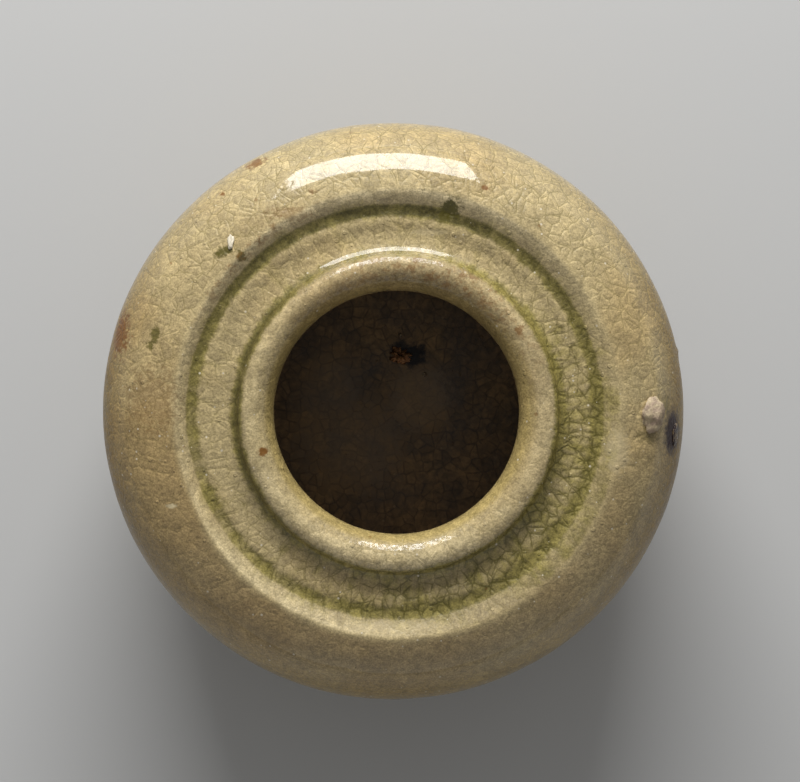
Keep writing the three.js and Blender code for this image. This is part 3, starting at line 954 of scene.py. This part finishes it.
def celadon_finish(jar, tints):
    """Crackled grey-green glaze, greener where it pools and paler over the edges, with painted shade on the
    sides turned from the lamp and painted light on the upper bevel and the lip's crest.
    """
    material, sketch, shader, place = new_finish("celadon")
    marks = [attribute(sketch, name) for name in MARKS]
    green, warm, crazed, olive, pale, rusty, dusk, ochre, worn = marks
    flat = attribute(sketch, "flat", "Vector")
    around = attribute(sketch, "around", "Vector")

    broad = sketch.noise(place, 0.06, 3.0, 0.55)
    middle = sketch.noise(place, 0.3, 4.0, 0.6)
    fine = sketch.noise(place, 1.5, 4.0, 0.65)
    tooth = sketch.times(sketch.math("SUBTRACT", fine, 0.5), 1.6)
    runs = sketch.noise(sketch.vector("MULTIPLY", around, (26.0, 26.0, 1.6)), 1.0, 2.0)

    warmth = sketch.math("ADD", warm, sketch.range(broad, 0.35, 0.65, -0.35, 0.35), clamp=True)
    body = sketch.mix(warmth, rgb(tints.celadon), rgb(tints.tan))
    body = sketch.mix(sketch.times(pale, sketch.range(middle, 0.3, 0.6, 0.4, 1.0)), body, rgb(tints.pale))
    body = sketch.mix(sketch.times(olive, 0.75), body, rgb(tints.olive))
    uneven = sketch.range(middle, 0.32, 0.62, 0.55, 1.0)
    # Painted shade: the glaze is mixed toward umber.
    body = sketch.mix(sketch.times(dusk, uneven, 0.62), body, rgb(tints.umber))
    # Partly the glaze's own ochre and partly painted shade at the widest part.
    body = sketch.mix(sketch.times(ochre, uneven, 0.85), body, rgb(tints.ochre))
    drift = sketch.range(middle, 0.3, 0.7, -0.22, 0.22)
    run = sketch.plus(green, drift, sketch.range(runs, 0.3, 0.7, -0.13, 0.13))
    run = sketch.times(sketch.range(run, 0.1, 1.0), sketch.range(green, 0.0, 0.25))
    body = sketch.mix(run, body, rgb(tints.green))

    grain = sketch.noise(place, 4.5, 2.0, 0.6)
    tone = sketch.times(sketch.range(fine, 0.3, 0.7, 0.8, 1.2), sketch.range(grain, 0.3, 0.7, 0.8, 1.2))
    # Painted shade: the pooled green darkens further where the painted shade lies.
    tone = sketch.times(tone, sketch.math("SUBTRACT", 1.0, sketch.times(dusk, green, uneven, 0.68)))
    # Painted light: where pale is strong the glaze is brightened by up to 1.45.
    tone = sketch.times(tone, sketch.range(pale, 0.6, 1.0, 1.0, 1.45))
    tone = sketch.times(tone, sketch.range(middle, 0.3, 0.7, 0.92, 1.08))
    width = sketch.range(green, 0.1, 0.8, 0.13, 0.2)
    small = sketch.group("crackle", Place=flat, Cell=1.7, Width=width, Wander=0.7)
    aside = sketch.vector("ADD", flat, (31, 17, 0))
    large = sketch.group("crackle", Place=aside, Cell=3.5, Width=0.15, Wander=1.5)
    edges = sketch.most(small["Edge"], large["Edge"])
    edges = sketch.times(edges, crazed, sketch.range(middle, 0.3, 0.6, 0.5, 1.0))
    tone = sketch.times(tone, sketch.range(small["Tone"], 0.0, 1.0, 0.91, 1.09))
    # Painted highlight and painted shade beside the cracks: a lighter band on even glaze, a darker band where
    # the glaze pools.
    tone = sketch.plus(tone, sketch.times(edges, sketch.range(run, 0.0, 0.6, 0.18, -0.3)))
    body = sketch.shade(body, tone)

    lines = sketch.most(small["Line"], large["Line"])
    lines = sketch.times(lines, crazed, sketch.range(run, 0.0, 0.6, 0.74, 0.78))
    body = sketch.mix(lines, body, sketch.mix(run, rgb(tints.crack), rgb(tints.deep_green)))

    light = sketch.specks(place, 1.0, 0.17, 0.3)
    body = sketch.mix(sketch.times(light, 0.8), body, rgb(tints.quartz))
    shifted = sketch.vector("ADD", place, (3.1, 5.9, 1.3))
    dark = sketch.specks(shifted, 0.9, 0.12, 0.3)
    body = sketch.mix(sketch.times(dark, sketch.range(warm, 0.2, 0.9, 0.25, 0.6)), body, rgb(tints.iron))
    brown = sketch.specks(shifted, 3.0, 0.3, 0.3)
    body = sketch.mix(sketch.times(brown, 0.5), body, rgb(tints.rust))

    body = sketch.mix(stains(sketch, place, jar, PALE_STAINS, tooth), body, rgb(tints.pale))
    pools = stains(sketch, place, jar, GREEN_STAINS, sketch.times(tooth, 1.5))
    body = sketch.mix(pools, body, rgb(tints.deep_green))
    blots = sketch.noise(place, 0.9, 4.0, 0.7)
    rust = sketch.times(rusty, sketch.range(blots, 0.46, 0.62), 0.75)
    rust = sketch.most(stains(sketch, place, jar, RUST_STAINS, sketch.times(tooth, 1.4)), rust)
    body = sketch.mix(rust, body, rgb(tints.rust))
    faint = sketch.times(tooth, 0.4)
    darkened = stains(sketch, place, jar, IRON_STAINS, faint)
    body = sketch.mix(darkened, body, rgb(tints.iron))
    sketch.feed(body, shader["Base Color"])

    # The glassy top of the glaze is a smooth coat over the crazed body
    flecks = sketch.noise(place, 2.2, 3.0, 0.6)
    worn = sketch.times(worn, sketch.range(flecks, 0.42, 0.56))
    worn = sketch.most(
        worn,
        stains(sketch, place, jar, DULL_STAINS, sketch.times(tooth, 2.0)),
        sketch.times(dark, 0.9),
        sketch.times(ochre, 0.85),
        sketch.times(darkened, 0.8),
        sketch.times(rust, 0.9),
        sketch.range(middle, 0.52, 0.7, 0.0, 0.3),
    )
    sketch.feed(sketch.math("SUBTRACT", 1.0, worn, clamp=True), shader["Coat Weight"])
    shader["Coat Roughness"].default_value = COAT_ROUGHNESS
    shader["Coat IOR"].default_value = COAT_IOR
    sketch.feed(sketch.range(fine, 0.35, 0.7, 0.34, 0.55), shader["Roughness"])
    shader["Specular IOR Level"].default_value = BODY_SPECULAR

    relief = sketch.group("relief", Place=place, Peel=0.4, Grain=0.6, Pits=0.4, Sand=0.8)["Height"]
    height = sketch.math("SUBTRACT", relief, sketch.times(edges, 0.95))
    sketch.feed(bumped(sketch, height, GLAZE_RELIEF), shader["Normal"])
    return material


def lining_finish(jar, tints):
    """Dark olive-brown glaze inside, mottled and finely crackled, with a painted shadow behind the chip and
    painted light on the left of the floor.
    """
    material, sketch, shader, place = new_finish("lining")
    middle = sketch.noise(place, 0.16, 4.0, 0.6)
    fine = sketch.noise(place, 1.3, 4.0, 0.65)
    flat = attribute(sketch, "flat", "Vector")
    cracks = sketch.group("crackle", Place=flat, Cell=1.4, Width=0.2, Wander=1.0)
    tone = sketch.times(
        sketch.range(cracks["Tone"], 0.0, 1.0, 0.85, 1.15),
        sketch.range(middle, 0.3, 0.7, 0.55, 1.45),
        sketch.range(fine, 0.3, 0.7, 0.7, 1.3),
    )
    body = sketch.shade(rgb(tints.lining), tone)
    body = sketch.mix(sketch.times(cracks["Line"], 0.55), body, rgb(tints.lining_crack))
    tooth = sketch.times(sketch.math("SUBTRACT", fine, 0.5), 1.2)
    # Pale patches: painted light on the left of the floor, and a real paler patch beside the chip.
    ash = stains(sketch, place, jar, ASH_AND_PAINTED_LIGHT, sketch.times(tooth, 1.5), inside=True)
    body = sketch.mix(ash, body, rgb(tints.ash))
    light = sketch.specks(place, 1.6, 0.2, 0.25)
    body = sketch.mix(sketch.times(light, 0.5), body, rgb(tints.ash))
    # Painted shadow: the floor goes black behind the chip.
    body = sketch.mix(stains(sketch, place, jar, PAINTED_CHIP_SHADOW, tooth, inside=True), body, rgb(tints.chip_shadow))
    sketch.feed(body, shader["Base Color"])
    sketch.feed(sketch.range(middle, 0.3, 0.7, 0.4, 0.6), shader["Roughness"])
    relief = sketch.group("relief", Place=place, Peel=0.6, Grain=0.2, Pits=0.3, Sand=0.3)["Height"]
    sketch.feed(bumped(sketch, relief, LINING_RELIEF), shader["Normal"])
    return material


def clay_finish(tints):
    """Bare sandy stoneware, burnt orange in places."""
    material, sketch, shader, place = new_finish("clay")
    middle = sketch.noise(place, 0.25, 4.0, 0.6)
    body = sketch.mix(sketch.range(middle, 0.4, 0.65), rgb(tints.clay), rgb(tints.burnt_clay))
    sand = sketch.specks(place, 0.8, 0.22, 0.5)
    body = sketch.mix(sketch.times(sand, 0.5), body, rgb(tints.quartz))
    dark = sketch.specks(place, 1.7, 0.25, 0.4)
    body = sketch.mix(sketch.times(dark, 0.7), body, rgb(tints.iron))
    sketch.feed(body, shader["Base Color"])
    sketch.feed(sketch.range(middle, 0.3, 0.7, 0.75, 0.92), shader["Roughness"])
    relief = sketch.group("relief", Place=place, Peel=0.8, Grain=0.8, Pits=0.8, Sand=0.8)["Height"]
    sketch.feed(bumped(sketch, relief, CLAY_RELIEF), shader["Normal"])
    return material


def grit_finish(name, light, dark, roughness, relief):
    """A mineral lump in two tones."""
    material, sketch, shader, place = new_finish(name)
    patches = sketch.noise(place, 1.1, 5.0, 0.65)
    body = sketch.mix(sketch.range(patches, 0.4, 0.62), rgb(light), rgb(dark))
    sketch.feed(body, shader["Base Color"])
    sketch.feed(sketch.range(patches, 0.3, 0.7, roughness * 0.7, roughness), shader["Roughness"])
    height = sketch.noise(place, 2.6, 4.0, 0.7)
    sketch.feed(bumped(sketch, height, relief), shader["Normal"])
    return material


def finish_of(name, make, *values):
    """A material, made the first time that it is asked for."""
    return bpy.data.materials.get(name) or make(*values)


# The lumps that the kiln left: each one's CAD node, name and kind, its size in millimetres (outwards, round
# the axis and proud of the surface), how rough it is, how fine that is, and its turn in degrees
OUTSIDE_LUMPS = (
    ("shoulder_grit", "grit_lump", "pale_grit", (3.8, 5.1, 1.25), 0.22, 1.6, 0),
    ("iron_blister", "blister", "iron_spot", (1.8, 3.4, 0.22), 0.3, 1.5, 0),
    ("ridge_grain", "ridge_sand", "quartz", (0.9, 2.1, 0.45), 0.35, 1.0, 46),
)
FLOOR_LUMPS = (
    ("floor_chip", "floor_lump", "kiln_chip", (2.4, 3.2, 1.2), 0.6, 2.0, 0),
    ("floor_grain_1", "floor_sand_1", "pale_grit", (0.8, 0.7, 0.5), 0.3, 1.4, 0),
    ("floor_grain_2", "floor_sand_2", "pale_grit", (0.8, 0.7, 0.5), 0.3, 1.4, 0),
)
BASE_LUMPS = tuple(
    (f"spur_chip_{number}", f"spur_tip_{number}", "quartz", (1.8, 1.7, 0.5), 0.3, 1.8, 0)
    for number in (1, 2, 3)
)
LUMP_FINENESS = 4
LUMP_PASSES = 4
# The dimension, the gap between octaves and their number, for the noise that roughens a lump
LUMP_NOISE = (0.7, 2.0, 4)


def lump_on(jar, surface, top, node, name, material, slot, size, roughness, grain, twist):
    """A rough lump half sunk into a surface where the CAD has it.

    size is its reach outwards, round the axis and proud of the surface, in millimetres.
    """
    low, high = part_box(node)
    spot = (low + high) / 2
    true = spot.copy()
    for _ in range(LUMP_PASSES):
        radius = min(true.xy.length, jar.body_radius - HARDLY)
        true.z, (out, up) = seat(surface, radius, top)
        true.xy += spot.xy - thrown(true, jar).xy
    around = math.atan2(true.y, true.x)
    normal = Vector((out * math.cos(around), out * math.sin(around), up))
    side = Vector((-math.sin(around), math.cos(around), 0))
    form = bmesh.new()
    bmesh.ops.create_icosphere(form, subdivisions=LUMP_FINENESS, radius=1.0)
    seed = Vector((spot.x, spot.y, 0)) * MM_PER_METRE
    for corner in form.verts:
        wave = noise.fractal(corner.co * grain + seed, *LUMP_NOISE)
        corner.co *= 1 - roughness / 2 + roughness * wave
    turned = Matrix((side.cross(normal), side, normal)).transposed().to_4x4()
    turned @= Matrix.Rotation(math.radians(twist), 4, "Z")
    bmesh.ops.scale(form, vec=(size[0] / 2 * MM, size[1] / 2 * MM, size[2] * MM), verts=form.verts)
    bmesh.ops.transform(form, matrix=Matrix.Translation(thrown(true, jar)) @ turned, verts=form.verts)
    bmesh.ops.recalc_face_normals(form, faces=form.faces)
    return finished(form, name, material, slot, node)


class JarPiece:
    """What the operators that make pieces share."""

    bl_options = {"REGISTER", "UNDO"}

    @property
    def jar(self):
        return jar_shape(bpy.context.scene.jar_sizes)

    @property
    def tints(self):
        return bpy.context.scene.jar_colours

    def grit(self, name):
        tints = self.tints
        kinds = {
            "pale_grit": (tints.grit, tints.grit_shade, 0.8, 0.15 * MM),
            "iron_spot": (tints.iron, tints.umber, 0.3, 0.08 * MM),
            "kiln_chip": (tints.chip, tints.rust, 0.9, 0.3 * MM),
            "quartz": (tints.quartz, tints.quartz, 0.7, 0.03 * MM),
        }
        return finish_of(f"{name}_lump", grit_finish, f"{name}_lump", *kinds[name])

    def fuse(self, surface, lumps, top=True):
        """Fuses lumps to a surface; top says which side of it they lie on where it turns back."""
        for node, name, kind, *look in lumps:
            lump_on(self.jar, surface, top, node, name, self.grit(kind), kind, *look)


class JAR_OT_clay(JarPiece, bpy.types.Operator):
    """Throw the clay body: foot ring, belly, shoulder, ridge, ledge, lip and cavity"""

    bl_idname = "jar.clay"
    bl_label = "Clay body"

    def execute(self, context):
        jar = self.jar
        base, outside, inside = base_clay(jar), outside_clay(jar), inside_clay(jar)
        inner_edge, outer_edge, chamfer = base[-1].x, outside[0].x, jar.foot_chamfer
        standing = [
            Vector((inner_edge, chamfer)),
            Vector((inner_edge + chamfer, 0)),
            Vector((outer_edge - chamfer, 0)),
            Vector((outer_edge, chamfer)),
        ]
        form = spun(joined(base, standing, outside, inside), False, jar.steps_round // 2)
        unevened(form, jar)
        material = finish_of("clay", clay_finish, self.tints)
        finished(form, "clay_body", material, "bare_clay", "stoneware_body")
        return {"FINISHED"}


class JAR_OT_outer_coat(JarPiece, bpy.types.Operator):
    """Coat the outside in celadon glaze, from the foot over the lip to the throat"""

    bl_idname = "jar.outer_coat"
    bl_label = "Outer glaze"

    def execute(self, context):
        jar = self.jar
        glaze = outer_surface(jar, jar.fine_step)
        form = spun(joined(glaze, outside_clay(jar)[::-1]), True, jar.steps_round)
        flattened(form, run_length(glaze) + jar.throat_radius)
        marked(form, jar)
        unevened(form, jar)
        material = finish_of("celadon", celadon_finish, jar, self.tints)
        finished(form, "celadon_coat", material, "celadon_glaze", "outer_glaze")
        return {"FINISHED"}


class JAR_OT_lining(JarPiece, bpy.types.Operator):
    """Coat the inside in dark glaze, from the throat to the floor"""

    bl_idname = "jar.lining"
    bl_label = "Inner glaze"

    def execute(self, context):
        jar = self.jar
        glaze = inner_surface(jar, jar.fine_step)
        outline = joined(inside_clay(jar)[::-1], glaze)
        form = spun(outline, False, jar.steps_round // 2)
        flattened(form, run_length(outline))
        unevened(form, jar)
        material = finish_of("lining", lining_finish, jar, self.tints)
        finished(form, "dark_lining", material, "dark_glaze", "inner_glaze")
        return {"FINISHED"}


class JAR_OT_base_coat(JarPiece, bpy.types.Operator):
    """Coat the recess under the base in celadon glaze"""

    bl_idname = "jar.base_coat"
    bl_label = "Base glaze"

    def execute(self, context):
        jar = self.jar
        glaze = base_surface(jar, jar.fine_step)
        form = spun(joined(glaze, base_clay(jar)[::-1]), False, jar.steps_round // 2)
        flattened(form, 0)
        marked(form, jar)
        unevened(form, jar)
        material = finish_of("celadon", celadon_finish, jar, self.tints)
        finished(form, "base_coat", material, "celadon_glaze", "base_glaze")
        return {"FINISHED"}


class JAR_OT_outside_grit(JarPiece, bpy.types.Operator):
    """Fuse the grit lump, the iron blister and the sand grain to the outside"""

    bl_idname = "jar.outside_grit"
    bl_label = "Grit outside"

    def execute(self, context):
        self.fuse(outer_surface(self.jar, self.jar.fine_step), OUTSIDE_LUMPS)
        return {"FINISHED"}


class JAR_OT_floor_grit(JarPiece, bpy.types.Operator):
    """Fuse the orange-brown chip and the two grains to the floor inside"""

    bl_idname = "jar.floor_grit"
    bl_label = "Grit on the floor"

    def execute(self, context):
        self.fuse(inner_surface(self.jar, self.jar.fine_step), FLOOR_LUMPS, top=False)
        return {"FINISHED"}


class JAR_OT_spur_chips(JarPiece, bpy.types.Operator):
    """Leave the tips of the three quartz spurs in the base glaze"""

    bl_idname = "jar.spur_chips"
    bl_label = "Spur chips"

    def execute(self, context):
        self.fuse(base_surface(self.jar, self.jar.fine_step), BASE_LUMPS)
        return {"FINISHED"}


# The stage, in metres and in degrees
FLOOR_REACH = 3.0
FLOOR_ROUGHNESS = 0.9
KEY_DISTANCE = 0.5
KEY_AZIMUTH = 93.5
KEY_ELEVATION = 27.5
KEY_SIZE = (0.35, 0.255)
KEY_POWER = 4.1
SKY_TOP = 0.22
SKY_ALONG = 0.42


class JAR_OT_stage(JarPiece, bpy.types.Operator):
    """Set the pale floor, the soft lamp, the sky light and the camera over the mouth"""

    bl_idname = "jar.stage"
    bl_label = "Stage"

    def execute(self, context):
        jar = self.jar
        self.lay_floor()
        self.hang_lamp(jar.equator)
        self.light_sky(context.scene)
        self.set_camera(context.scene, jar)
        context.scene.view_settings.view_transform = "Standard"
        return {"FINISHED"}

    def lay_floor(self):
        form = bmesh.new()
        bmesh.ops.create_grid(form, x_segments=2, y_segments=2, size=FLOOR_REACH)
        mesh = bpy.data.meshes.new("floor")
        form.to_mesh(mesh)
        form.free()
        material = bpy.data.materials.new("floor")
        material.use_nodes = True
        shader = material.node_tree.nodes["Principled BSDF"].inputs
        shader["Base Color"].default_value = rgb(self.tints.floor)
        shader["Roughness"].default_value = FLOOR_ROUGHNESS
        mesh.materials.append(material)
        floor = bpy.data.objects.new("floor", mesh)
        bpy.context.scene.collection.objects.link(floor)

    def hang_lamp(self, height):
        data = bpy.data.lights.new("softbox", "AREA")
        data.shape = "RECTANGLE"
        data.size, data.size_y = KEY_SIZE
        data.energy = KEY_POWER
        lamp = bpy.data.objects.new("softbox", data)
        flat = KEY_DISTANCE * math.cos(math.radians(KEY_ELEVATION))
        rise = KEY_DISTANCE * math.sin(math.radians(KEY_ELEVATION))
        lamp.location = polar(flat, KEY_AZIMUTH, height + rise)
        aim = Vector((0, 0, height)) - lamp.location
        lamp.rotation_euler = aim.to_track_quat("-Z", "Y").to_euler()
        bpy.context.scene.collection.objects.link(lamp)

    def light_sky(self, scene):
        """White light, stronger from the front and the back than from above and from the sides."""
        world = bpy.data.worlds.new("sky")
        world.use_nodes = True
        world.node_tree.nodes.clear()
        sketch = Sketch(world.node_tree)
        way = sketch.add("ShaderNodeTexCoord").outputs["Generated"]
        along = sketch.add("ShaderNodeSeparateXYZ", {0: way}).outputs["Y"]
        strength = sketch.plus(sketch.times(along, along, SKY_ALONG), SKY_TOP)
        sky = sketch.add("ShaderNodeBackground", {"Color": (1, 1, 1, 1), "Strength": strength})
        output = sketch.add("ShaderNodeOutputWorld")
        sketch.feed(sky.outputs[0], output.inputs[0])
        scene.world = world

    def set_camera(self, scene, jar):
        data = bpy.data.cameras.new("camera")
        pixel = 2 * jar.body_radius / PHOTO_JAR_WIDTH
        data.lens = data.sensor_width * CAMERA_DISTANCE / (PHOTO_WIDTH * pixel)
        camera = bpy.data.objects.new("camera", data)
        across = (PHOTO_WIDTH / 2 - PHOTO_MIDDLE[0]) * pixel
        along = (PHOTO_MIDDLE[1] - PHOTO_HEIGHT / 2) * pixel
        camera.location = (across, along, jar.equator + CAMERA_DISTANCE)
        scene.collection.objects.link(camera)
        scene.camera = camera


class JAR_PT_panel(bpy.types.Panel):
    """The jar's pieces, in the order in which they are made"""

    bl_idname = "JAR_PT_panel"
    bl_label = "Celadon jar"
    bl_space_type = "VIEW_3D"
    bl_region_type = "UI"
    bl_category = "Jar"

    def draw(self, context):
        for operator in OPERATORS:
            self.layout.operator(operator.bl_idname)


OPERATORS = (
    JAR_OT_clay,
    JAR_OT_outer_coat,
    JAR_OT_lining,
    JAR_OT_base_coat,
    JAR_OT_outside_grit,
    JAR_OT_floor_grit,
    JAR_OT_spur_chips,
    JAR_OT_stage,
)
CLASSES = (JarSizes, JarColours, *OPERATORS, JAR_PT_panel)


def register():
    for made in CLASSES:
        bpy.utils.register_class(made)
    bpy.types.Scene.jar_sizes = PointerProperty(type=JarSizes)
    bpy.types.Scene.jar_colours = PointerProperty(type=JarColours)


def unregister():
    del bpy.types.Scene.jar_colours
    del bpy.types.Scene.jar_sizes
    for made in reversed(CLASSES):
        bpy.utils.unregister_class(made)


def main():
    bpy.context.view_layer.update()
    register()
    bpy.ops.jar.clay()
    bpy.ops.jar.outer_coat()
    bpy.ops.jar.lining()
    bpy.ops.jar.base_coat()
    bpy.ops.jar.outside_grit()
    bpy.ops.jar.floor_grit()
    bpy.ops.jar.spur_chips()
    bpy.ops.jar.stage()


if __name__ == "__main__":
    main()
